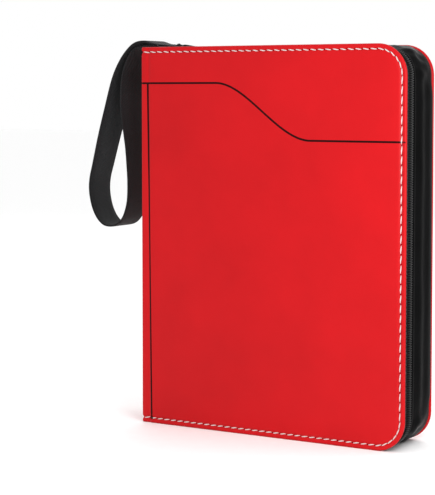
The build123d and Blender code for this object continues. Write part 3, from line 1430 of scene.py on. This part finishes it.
@dataclass
class ZipTape:
    """One half's woven tape, which bows outwards where it is closed round the fore edge."""

    case: Case
    side: Side
    finishes: Finishes
    bow: float = 1.0 * MM
    thick: float = 0.6 * MM
    hem: float = 0.6 * MM
    rows: int = 10

    def build(self) -> None:
        """Builds the tape from the cover's side to under the coil."""
        node = f"{self.side.word}_zip_tape"
        low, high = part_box(node)
        inset = self.case.fore - high[0]
        path = RimPath(self.case, low[0])
        start, end = (low[1], high[1]) if self.side is Side.FRONT else (high[1], low[1])
        hem_inset = inset if self.side is Side.FRONT else inset - self.hem

        def profile(run: float) -> list[Flat]:
            """The tape's outside at a place on the rim."""
            rise, line = chain_rise(path, run), []
            for share in (k / self.rows for k in range(self.rows + 1)):
                back = inset + (hem_inset - inset) * rise * (1 - share) ** 2
                back -= self.bow * rise * smooth_step(share * 1.3)
                line.append((back, start + (end - start) * share))
            return line

        maker = rim_wall(path, path.stations(2.5 * MM), profile, self.thick)
        tape = maker.finish(f"{self.side.word}_tape", self.finishes.tape)
        place(tape, self.side.body, [node], 40)


@dataclass
class ZipChain:
    """One half of the zip: its row of coil turns and the thread that sews it to the tape.

    A turn is a row of rings from its head to its loop on the tape: how far along, and the share of its size.
    """

    case: Case
    side: Side
    finishes: Finishes
    pitch: float = 1.3 * MM
    half_width: float = 0.29 * MM
    past_middle: float = 0.3 * MM
    bow: float = 1.0 * MM
    turn: tuple[Flat, ...] = (
        (0.0, 0.45), (0.08, 0.95), (0.25, 1.0), (0.5, 0.80), (0.85, 0.85), (1.0, 0.45),
    )
    sewing_pitch: float = 2.2 * MM
    sewing_gaps: Flat = (0.4 * MM, 1.0 * MM)
    sewing_length: float = 1.7 * MM
    sewing_radius: float = 0.16 * MM

    def build(self) -> None:
        """Builds the turns and the sewing thread."""
        low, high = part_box(f"{self.side.word}_coil")
        front_high, back_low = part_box("front_coil")[1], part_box("back_coil")[0]
        middle = (front_high[1] + back_low[1]) / 2
        outer = high[1] if self.side is Side.BACK else low[1]
        tape_inset = self.case.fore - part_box(f"{self.side.word}_zip_tape")[1][0]
        coil_inset = self.case.fore - high[0]
        path = RimPath(self.case, low[0])
        maker = MeshMaker()
        count = int(path.length / self.pitch) - 1
        offset = 0.25 if self.side is Side.FRONT else 0.75
        tall = (tape_inset - coil_inset) / 2
        head = middle - self.side.value * self.past_middle
        heads = [(head + (outer - head) * share, size) for share, size in self.turn]
        for number in range(count):
            run = (number + offset) * self.pitch
            centre, along, out = path.frame(run, tape_inset - tall - self.bow * chain_rise(path, run))
            along, out = along * self.half_width, out * tall
            maker.tube([
                ring_about(Vector((centre.x, y, centre.z)), along * size, out * size, 6, 0.5)
                for y, size in heads
            ])
        turns = maker.finish(f"{self.side.word}_coil_turns", self.finishes.coil)
        place(turns, self.side.body, [f"{self.side.word}_coil"])
        self._sewing(path, tape_inset, outer)

    def _sewing(self, path: RimPath, tape_inset: float, outer: float) -> None:
        """Two rows of small stitches along the tape beside the coil.

        Args:
            path: The rim.
            tape_inset: How far inside the rim the tape's face lies.
            outer: The Y of the coil's outer edge.
        """
        maker, across = MeshMaker(), Vector((0.0, self.sewing_radius, 0.0))
        for far, gap in enumerate(self.sewing_gaps):
            for number in range(int(path.length / self.sewing_pitch)):
                run = (number + 0.5) * self.sewing_pitch
                near = tape_inset - self.bow * chain_rise(path, run) * (0.95 - 0.25 * far)
                centre, along, out = path.frame(run, near, outer + self.side.value * gap)
                maker.tube([
                    ring_about(
                        centre + along * (share * self.sewing_length / 2),
                        across * size, out * (self.sewing_radius * size), 5,
                    )
                    for share, size in ((-1.0, 0.4), (-0.6, 1.0), (0.6, 1.0), (1.0, 0.4))
                ])
        sewing = maker.finish(f"{self.side.word}_tape_sewing", self.finishes.black_thread)
        place(sewing, self.side.body)


@dataclass
class ZipSlider:
    """The slider with its bridge, and the puller that hangs on it."""

    finishes: Finishes
    edge: float = 0.22 * MM
    plate: float = 0.95 * MM
    flange: float = 0.55 * MM
    flange_wall: float = 0.7 * MM
    eye_bore: float = 0.5 * MM
    neck: float = 0.45 * MM
    droop: float = 0.7 * MM
    ribs: int = 9

    def build(self) -> None:
        """Builds the slider's plates, the bridge, the link and the grip."""
        self._plates()
        self._bridge()
        self._link()
        self._grip()
        for node in ("zip_top_stop", "zip_bottom_stop"):
            dress(node, self.finishes.lacquer)

    def _slab(self, maker: MeshMaker, outline: Sequence[Flat], low: float, high: float) -> None:
        """A plate with rounded edges.

        Args:
            maker: The mesh it joins.
            outline: Its outline in X and Y.
            low: Its underside's Z.
            high: Its top's Z.
        """
        cx = sum(p[0] for p in outline) / len(outline)
        cy = sum(p[1] for p in outline) / len(outline)
        size = max(math.hypot(p[0] - cx, p[1] - cy) for p in outline)
        rings = []
        for pull, z in (
            (self.edge, low),
            (self.edge * 0.3, low + self.edge * 0.3),
            (0.0, low + self.edge),
            (0.0, high - self.edge),
            (self.edge * 0.3, high - self.edge * 0.3),
            (self.edge, high),
            (self.edge * 4, high),
        ):
            scale = 1 - pull / size
            rings.append([(cx + (x - cx) * scale, cy + (y - cy) * scale, z) for x, y in outline])
        maker.tube(rings)

    def _plates(self) -> None:
        """The upper and lower plates, flared at the nose, with the post between them."""
        low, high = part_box("slider_body")
        mid_x, mid_y = (low[0] + high[0]) / 2, (low[1] + high[1]) / 2
        half_x, half_y = (high[0] - low[0]) / 2, (high[1] - low[1]) / 2
        outline = []
        for k in range(40):
            x, y = squared(2 * math.pi * k / 40, 0.55)
            waist = 0.80 + 0.20 * smooth_step((x + 1) / 1.6) - 0.06 * hump(x, 0.0, 0.3)
            outline.append((mid_x + x * half_x, mid_y + y * half_y * waist))
        maker, thick = MeshMaker(), self.plate
        self._slab(maker, outline, high[2] - thick, high[2])
        self._slab(maker, outline, low[2], low[2] + thick)
        self._bar(maker, (mid_x, mid_y), (1.5 * MM, 0.3 * MM), low[2] + thick * 0.5, high[2] - thick * 0.5)
        for side in (-1, 1):
            centre = (mid_x, mid_y + side * (half_y * 0.86 - self.flange_wall / 2))
            reach = (half_x * 0.7, self.flange_wall / 2)
            self._bar(maker, centre, reach, high[2] - thick - self.flange, high[2] - thick * 0.5)
        body = maker.finish("slider_plates", self.finishes.lacquer)
        place(body, "slider", ["slider_body"], 40)

    @staticmethod
    def _bar(maker: MeshMaker, centre: Flat, reach: Flat, low: float, high: float) -> None:
        """An upright square bar.

        Args:
            maker: The mesh it joins.
            centre: Its middle's X and Y.
            reach: Half its width along X and along Y.
            low: Its foot's Z.
            high: Its top's Z.
        """
        corners = ((-1, -1), (1, -1), (1, 1), (-1, 1))
        foot = [(centre[0] + dx * reach[0], centre[1] + dy * reach[1]) for dx, dy in corners]
        maker.tube([[(x, y, z) for x, y in foot] for z in (low, high)])

    def _bridge(self) -> None:
        """The arched bridge that the puller hangs on."""
        low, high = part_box("slider_bridge")
        radius = (high[1] - low[1]) / 2
        mid_y = (low[1] + high[1]) / 2
        span, top = (high[0] - low[0]) / 2 - radius, high[2] - radius
        centre = (low[0] + high[0]) / 2
        maker, rings = MeshMaker(), []
        for k in range(17):
            share = k / 8 - 1
            x = centre + share * span
            drop = (top - low[2] + radius * 0.5) * abs(share) ** 6
            slope = -6 * (top - low[2]) / span * abs(share) ** 5 * math.copysign(1, share)
            run = Vector((1.0, 0.0, slope)).normalized()
            lift = Vector((-run.z, 0.0, run.x)) * radius
            rings.append(ring_about(Vector((x, mid_y, top - drop)), Vector((0.0, radius, 0.0)), lift, 10))
        maker.tube(rings)
        place(maker.finish("slider_arch", self.finishes.lacquer), "slider", ["slider_bridge"])

    def _link(self) -> None:
        """The metal eye and its neck."""
        low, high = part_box("pull_link")
        mid_x, mid_z = (low[0] + high[0]) / 2, (low[2] + high[2]) / 2
        outer = (high[2] - low[2]) / 2
        eye_y = low[1] + outer
        half = (high[0] - low[0]) / 2
        maker = MeshMaker()
        tube, ring_radius = (outer - self.eye_bore) / 2, (outer + self.eye_bore) / 2
        eye, side = Vector((mid_x, eye_y, mid_z)), Vector((half, 0.0, 0.0))
        rows = []
        for k in range(20):
            angle = 2 * math.pi * k / 20
            way = Vector((0.0, math.cos(angle), math.sin(angle)))
            ring = ring_about(eye + way * ring_radius, way * tube, side, 8)
            rows.append([maker.add(spot) for spot in ring])
        maker.lattice(rows, closed=True, looped=True)
        neck, upright = eye_y + outer * 0.8, Vector((0.0, 0.0, self.neck))
        maker.tube([
            ring_about(Vector((mid_x, neck + (high[1] - neck) * share, mid_z)), side * size, upright, 10)
            for share, size in ((0.0, 0.9), (0.3, 0.75), (0.7, 0.75), (1.0, 1.0))
        ])
        place(maker.finish("pull_eye", self.finishes.lacquer), "puller", ["pull_link"])

    def _grip(self) -> None:
        """The moulded grip, ribbed across for the fingers."""
        low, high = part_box("pull_tab")
        mid_x, mid_z = (low[0] + high[0]) / 2, (low[2] + high[2]) / 2
        half_x, half_z = (high[0] - low[0]) / 2, (high[2] - low[2]) / 2
        maker, rings = MeshMaker(), []
        count = 60
        for k in range(count + 1):
            share = k / count
            y = low[1] + (high[1] - low[1]) * share
            ends = min(1.0, share / 0.08, (1 - share) / 0.12)
            round_off = math.sqrt(max(0.06, 1 - (1 - ends) ** 2))
            wide = half_x * (0.72 + 0.28 * smooth_step(share / 0.5)) * round_off
            wave = 0.5 + 0.5 * math.cos(2 * math.pi * share * self.ribs)
            rib = 0.82 + 0.18 * wave if 0.25 < share < 0.85 else 1.0
            ring = []
            for m in range(16):
                cx, cz = squared(2 * math.pi * m / 16, 0.6)
                z = mid_z - self.droop * smooth_step(share * 1.2) + half_z * rib * cz * round_off**0.5
                ring.append((mid_x + wide * cx, y, z))
            rings.append(ring)
        maker.tube(rings)
        place(maker.finish("pull_grip", self.finishes.grip), "puller", ["pull_tab"], 50)


# ---------------------------------------------------------------- wrist strap


@dataclass
class WristStrap:
    """One length of webbing, sewn down over the spine's top end and hanging in a loop."""

    case: Case
    finishes: Finishes
    thickness: float = 1.3 * MM
    turn_top: float = 10.0
    thread_radius: float = 0.25 * MM
    stitch_pitch: float = 2.6 * MM
    stitch_length: float = 2.2 * MM

    # The loop's middle line: how far out from the spine, as a share of the loop's reach, and how far down
    # from the top, as a share of its fall.
    DOWN = (
        (0.09, -0.033),
        (0.22, -0.024),
        (0.345, 0.012),
        (0.475, 0.072),
        (0.605, 0.165),
        (0.745, 0.325),
        (0.87, 0.475),
        (0.985, 0.632),
        (1.045, 0.716),
        (1.055, 0.790),
        (1.01, 0.870),
        (0.93, 0.928),
        (0.83, 0.963),
        (0.72, 0.972),
        (0.61, 0.966),
        (0.52, 0.945),
        (0.445, 0.905),
    )
    UP = (
        (0.385, 0.830),
        (0.370, 0.733),
        (0.378, 0.641),
        (0.395, 0.541),
        (0.420, 0.465),
        (0.465, 0.330),
        (0.445, 0.179),
        (0.370, 0.085),
        (0.24, 0.012),
        (0.11, -0.004),
    )

    def build(self) -> None:
        """Builds the webbing and the stitching that holds it down."""
        line = self._route()
        piece = self._ribbon(line)
        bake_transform(piece)
        settle(piece, ["strap_anchor", "strap_stem", "strap_loop"])
        self._holding_stitches()

    def _route(self) -> list[Flat]:
        """The webbing's middle line, from its upper end on the spine round to its lower end.

        Returns:
            The X and Z of its points.
        """
        anchor_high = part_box("strap_anchor")[1]
        loop_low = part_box("strap_loop")[0]
        spine, top = self.case.spine, self.case.height
        reach, fall = spine - loop_low[0], top - loop_low[2]
        layer = self.thickness
        tip = anchor_high[0]
        points = [
            (tip - back, top + 1.52 * layer * self._press(tip - back) + extra)
            for back, extra in ((0.0, 0.0), (5 * MM, 0.0), (9.5 * MM, 0.0), (13 * MM, 0.3 * MM))
        ]
        points += [(spine - across * reach, top - down * fall) for across, down in self.DOWN + self.UP]
        points += [
            (x, top + 0.5 * layer * self._press(x))
            for x in (spine + 1 * MM, tip - 9.5 * MM, tip - 5 * MM, tip - 0.4 * MM)
        ]
        return curve_through(points, 1.2 * MM)

    def _press(self, x: float) -> float:
        """The share of its thickness that the webbing keeps where it is sewn down."""
        return 1 - 0.62 * smooth_step((x - self.case.spine) / (17 * MM))

    def _ribbon(self, line: Sequence[Flat]) -> Piece:
        """The woven band along a line, with rounded selvedges.

        Args:
            line: The X and Z of the points along its middle.

        Returns:
            The object.
        """
        low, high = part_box("strap_loop")
        half_width = (high[1] - low[1]) / 2
        mid_y = (low[1] + high[1]) / 2
        section = self._section(half_width)
        maker, rings, run = MeshMaker(), [], 0.0
        for k, (x, z) in enumerate(line):
            before, after = line[max(0, k - 1)], line[min(len(line) - 1, k + 1)]
            way = Vector((after[0] - before[0], after[1] - before[1])).normalized()
            if k:
                run += math.dist(line[k - 1], line[k])
            side = Vector((-way.y, 0.0, way.x))
            drop = (self.case.height - z) / (self.case.height - low[2])
            outside = smooth_step((self.case.spine - x) / (12 * MM))
            angle = math.radians(self.turn_top) * outside * (1 - smooth_step(drop))
            width_way = Vector((math.sin(angle), math.cos(angle), 0.0))
            ring = []
            for across, up in section:
                spot = Vector((x, mid_y, z)) + width_way * across + side * (up * self._press(x))
                ring.append(maker.add(spot, (run, across)))
            rings.append(ring)
        maker.shut(rings)
        return maker.finish("strap_webbing", self.finishes.webbing)

    def _section(self, half_width: float) -> list[Flat]:
        """The band's cross-section: flat faces, a thin groove inside each selvedge, rounded edges.

        Args:
            half_width: Half its width.

        Returns:
            How far across and how far up each point is.
        """
        half = self.thickness / 2
        marks = (-1.0, -0.93, -0.88, -0.83, -0.5, 0.0, 0.5, 0.83, 0.88, 0.93, 1.0)
        lifts = (0.35, 0.95, 0.80, 1.0, 1.0, 1.0, 1.0, 1.0, 0.80, 0.95, 0.35)
        upper = [(half_width * mark, half * lift) for mark, lift in zip(marks, lifts)]
        lower = [(across, -up) for across, up in reversed(upper)]
        return upper + lower

    def _holding_stitches(self) -> None:
        """A crossed box of black thread on the part sewn to the spine."""
        low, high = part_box("strap_anchor")
        cover = CoverLeather(self.case, Side.FRONT, self.finishes, thread_radius=self.thread_radius)
        maker = MeshMaker()
        left, right = low[0] + 5.0 * MM, high[0] - 1.8 * MM
        near, far = low[1] + 3.0 * MM, high[1] - 3.0 * MM
        corners = [(left, near), (right, near), (right, far), (left, far)]
        edges = [*zip(corners, corners[1:] + corners[:1]), corners[::2], corners[1::2]]
        for (ax, ay), (bx, by) in edges:
            count = int(math.hypot(bx - ax, by - ay) / self.stitch_pitch)
            way = Vector((bx - ax, by - ay, 0.0)).normalized()
            for k in range(count):
                share = (k + 0.5) / count
                x, y = ax + (bx - ax) * share, ay + (by - ay) * share
                z = self.case.height + self.thickness * 2.04 * self._press(x) + 0.04 * MM
                cover.stitch(maker, Vector((x, y, z)), way, Vector((0.0, 0.0, 1.0)), self.stitch_length)
        stitches = maker.finish("anchor_stitches", self.finishes.black_thread)
        place(stitches, "spine")


# ---------------------------------------------------------------- inside


@dataclass
class PageLeaf:
    """One page leaf: an embossed sheet with a clear pocket and a card on each face.

    A pocket's pillow is a row of steps from its weld to its flat: how far in, and the share of its height.
    """

    number: int
    finishes: Finishes
    sheet_corner: float = 6.0 * MM
    pocket_corner: float = 2.5 * MM
    card_corner: float = 4.0 * MM
    card_lift: float = 0.08 * MM
    worn_edge: float = 0.05 * MM
    pillow: tuple[Flat, ...] = (
        (0.0, 0.02), (0.0, 0.18), (1.0 * MM, 0.22), (1.6 * MM, 0.62), (2.6 * MM, 0.92), (8.0 * MM, 1.0),
    )

    @property
    def body(self) -> str:
        """The moving body the leaf is."""
        return f"leaf_{self.number}"

    def build(self) -> None:
        """Builds the sheet, both pockets and both cards."""
        self._sheet()
        self._pockets()
        self._cards()

    @staticmethod
    def _outline(low: Spot, high: Spot, corner: float, square_left: bool = False) -> list[Flat]:
        """A rounded rectangle in X and Z.

        Args:
            low: The lowest corner of the box it fills.
            high: The highest corner.
            corner: The corners' radius.
            square_left: Whether the two corners at the spine stay square.

        Returns:
            Its points in order.
        """
        points, steps = [], 6
        for cx, cz, start in (
            (high[0] - corner, high[2] - corner, 0.0),
            (low[0] + corner, high[2] - corner, 90.0),
            (low[0] + corner, low[2] + corner, 180.0),
            (high[0] - corner, low[2] + corner, 270.0),
        ):
            for k in range(steps + 1):
                angle = math.radians(start + 90.0 * k / steps)
                if square_left and start == 90.0:
                    points.append((low[0] + (steps - k) * corner / steps, high[2]))
                elif square_left and start == 180.0:
                    points.append((low[0] + k * corner / steps, low[2]))
                else:
                    points.append((cx + corner * math.cos(angle), cz + corner * math.sin(angle)))
        return points

    @staticmethod
    def _slab(
        maker: MeshMaker, outline: Sequence[Flat], steps: Sequence[Flat],
        printed: bool = False,
    ) -> None:
        """A thin plate with shaped edges.

        Args:
            maker: The mesh it joins.
            outline: Its outline in X and Z.
            steps: For each ring, how far it is pulled in and its Y.
            printed: Whether its faces carry a print and so need places on them.
        """
        (left, right), (low, high) = ((min(line), max(line)) for line in zip(*outline))
        cx, cz, wide, tall = (left + right) / 2, (low + high) / 2, (right - left) / 2, (high - low) / 2
        rows = []
        for pull, y in steps:
            across, up = 1 - pull / wide, 1 - pull / tall
            rows.append([
                maker.add(
                    (cx + (x - cx) * across, y, cz + (z - cz) * up),
                    ((x - cx) / wide * across, (z - cz) / tall * up) if printed else None,
                )
                for x, z in outline
            ])
        maker.shut(rows)

    def _sheet(self) -> None:
        """The embossed sheet."""
        node = f"{self.body}_sheet"
        low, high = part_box(node)
        maker = MeshMaker()
        outline = self._outline(low, high, self.sheet_corner, square_left=True)
        worn = self.worn_edge
        steps = [(worn, low[1]), (0.0, low[1] + 2 * worn), (0.0, high[1] - 2 * worn), (worn, high[1])]
        self._slab(maker, outline, steps)
        place(maker.finish(f"{self.body}_page", self.finishes.leaf), self.body, [node], 30)

    def _pockets(self) -> None:
        """The two films, each with its welded border, open at the gutter side."""
        node = f"{self.body}_pockets"
        low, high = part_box(node)
        sheet_low, sheet_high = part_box(f"{self.body}_sheet")
        maker = MeshMaker()
        outline = self._outline(low, high, self.pocket_corner)
        for base, top in ((sheet_low[1], low[1]), (sheet_high[1], high[1])):
            deep = top - base
            self._slab(maker, outline, [(pull, base + deep * share) for pull, share in self.pillow])
        film = maker.finish(f"{self.body}_films", self.finishes.film)
        place(film, self.body, [node], 30)

    def _cards(self) -> None:
        """The two cards, face out, with rounded corners."""
        node = f"{self.body}_cards"
        low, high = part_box(node)
        sheet_low, sheet_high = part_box(f"{self.body}_sheet")
        maker = MeshMaker()
        outline = self._outline(low, high, self.card_corner)
        lift = self.card_lift
        for near, far in ((sheet_low[1] - lift, low[1]), (sheet_high[1] + lift, high[1])):
            rim = (far - near) * 0.12
            steps = [(lift / 2, near), (0.0, near + rim), (0.0, far - rim), (lift / 2, far)]
            self._slab(maker, outline, steps, printed=True)
        face = self.finishes.card_faces[3 - min(self.number, 7 - self.number)]  # the same on both sides
        place(maker.finish(f"{self.body}_card_pair", face), self.body, [node], 30)


@dataclass
class Inside:
    """What shows when the album is open: linings, binding, end caps and leaves."""

    finishes: Finishes
    leaves: int = 6

    def build(self) -> None:
        """Dresses the inside and builds the leaves."""
        finishes = self.finishes
        for side in Side:
            dress(f"{side.word}_lining", finishes.lining)
            dress(f"{side.word}_board", finishes.board)
            dress(f"{side.word}_foam", finishes.foam)
        dress("spine_board", finishes.board)
        dress("page_binding", finishes.binding)
        for node in ("spine_lining", "spine_end_top", "spine_end_bottom"):
            dress(node, finishes.binding)
        for number in range(1, self.leaves + 1):
            PageLeaf(number, finishes).build()


# ---------------------------------------------------------------- studio


def way_out(azimuth: float, elevation: float) -> Vector:
    """The way from the case towards a lamp or the camera.

    Args:
        azimuth: How far round from the front, in degrees.
        elevation: How far up, in degrees.

    Returns:
        The way, one long.
    """
    around, up = math.radians(azimuth), math.radians(elevation)
    return Vector((math.sin(around) * math.cos(up), -math.cos(around) * math.cos(up), math.sin(up)))


def stand(name: str, data: bpy.types.ID, spot: Vector, back: Vector) -> Piece:
    """Puts a lamp or the camera in the scene.

    Args:
        name: Its name.
        data: Its settings.
        spot: Where it stands.
        back: The way from the case towards it, which it faces against.

    Returns:
        The new object.
    """
    item = bpy.data.objects.new(name, data)
    item.location = spot
    item.rotation_mode = "QUATERNION"
    item.rotation_quaternion = (-back).to_track_quat("-Z", "Y")
    bpy.context.scene.collection.objects.link(item)
    return item


@dataclass(frozen=True)
class Lamp:
    """One soft lamp, aimed at the case."""

    name: str
    azimuth: float
    elevation: float
    distance: float
    size: float
    power: float
    colour: Colour = (1.0, 1.0, 1.0)

    def build(self, aim: Vector) -> None:
        """Makes the lamp and points it at a place."""
        back = way_out(self.azimuth, self.elevation)
        light = bpy.data.lights.new(self.name, "AREA")
        light.shape = "SQUARE"
        light.size, light.energy, light.color = self.size, self.power, self.colour
        stand(self.name, light, aim + back * self.distance, back).visible_camera = False


@dataclass(frozen=True)
class Studio:
    """The floor, the lamps and the camera."""

    finishes: Finishes
    azimuth: float = 30.4
    elevation: float = 3.53
    distance: float = 0.9453
    aim_offset: Spot = (-0.0239, 0.0002, 0.0264)
    lens: float = 115.0
    shift_up: float = -0.116
    floor_size: float = 12.0
    surround: Colour = (1.0, 1.0, 1.0)
    surround_strength: float = 1.0
    lamps: tuple[Lamp, ...] = (
        Lamp("key_lamp", 47.0, 14.0, 0.34, 0.16, 0.66),
        Lamp("top_lamp", 100.0, 70.0, 1.2, 0.8, 2.0),
        Lamp("back_lamp", 200.0, 35.0, 1.3, 0.9, 2.0),
    )

    def build(self) -> None:
        """Sets up everything round the album."""
        low, high = CAD_BOX
        centre = (Vector(low) + Vector(high)) / 2
        self._camera(centre)
        self._floor(low[2])
        self._surround()
        bpy.context.scene.view_settings.view_transform = "Standard"
        for lamp in self.lamps:
            lamp.build(centre)

    def _camera(self, centre: Vector) -> None:
        """The camera, from the fore-edge side, a little above the middle."""
        back = way_out(self.azimuth, self.elevation)
        data = bpy.data.cameras.new("camera")
        data.lens, data.sensor_width, data.shift_y = self.lens, 36.0, self.shift_up
        spot = centre + Vector(self.aim_offset) + back * self.distance
        bpy.context.scene.camera = stand("camera", data, spot, back)

    def _floor(self, level: float) -> None:
        """A plain pale floor."""
        maker, half, count = MeshMaker(), self.floor_size / 2, 8
        marks = [self.floor_size * k / count - half for k in range(count + 1)]
        maker.lattice([[maker.add((x, y, level - 0.02 * MM)) for y in marks] for x in marks])
        maker.finish("studio_floor", self.finishes.floor, (0.0, 0.0, 1.0))

    def _surround(self) -> None:
        """The even light of a white room."""
        world = bpy.data.worlds.new("studio")
        world.use_nodes = True
        sky = world.node_tree.nodes["Background"]
        sky.inputs["Color"].default_value = (*self.surround, 1.0)
        sky.inputs["Strength"].default_value = self.surround_strength
        bpy.context.scene.world = world


def main() -> None:
    """Builds the album, piece by piece, and then the studio round it."""
    logging.basicConfig(level=logging.INFO, format="%(name)s %(message)s")
    case = Case.measured()
    finishes = Finishes.made()
    assemblies: list[tuple[str, Callable[[], None]]] = [
        ("front cover", CoverLeather(case, Side.FRONT, finishes).build),
        ("back cover", CoverLeather(case, Side.BACK, finishes).build),
        ("spine", SpineLeather(case, finishes).build),
        ("printed lines", PrintedLines(case, finishes).build),
        ("gusset", Gusset(case, finishes).build),
        ("front tape", ZipTape(case, Side.FRONT, finishes).build),
        ("back tape", ZipTape(case, Side.BACK, finishes).build),
        ("front half of the zip", ZipChain(case, Side.FRONT, finishes).build),
        ("back half of the zip", ZipChain(case, Side.BACK, finishes).build),
        ("slider and puller", ZipSlider(finishes).build),
        ("wrist strap", WristStrap(case, finishes).build),
        ("inside", Inside(finishes).build),
        ("studio", Studio(finishes).build),
    ]
    for name, build in assemblies:
        build()
        LOG.info("%s: done", name)


if __name__ == "__main__":
    main()
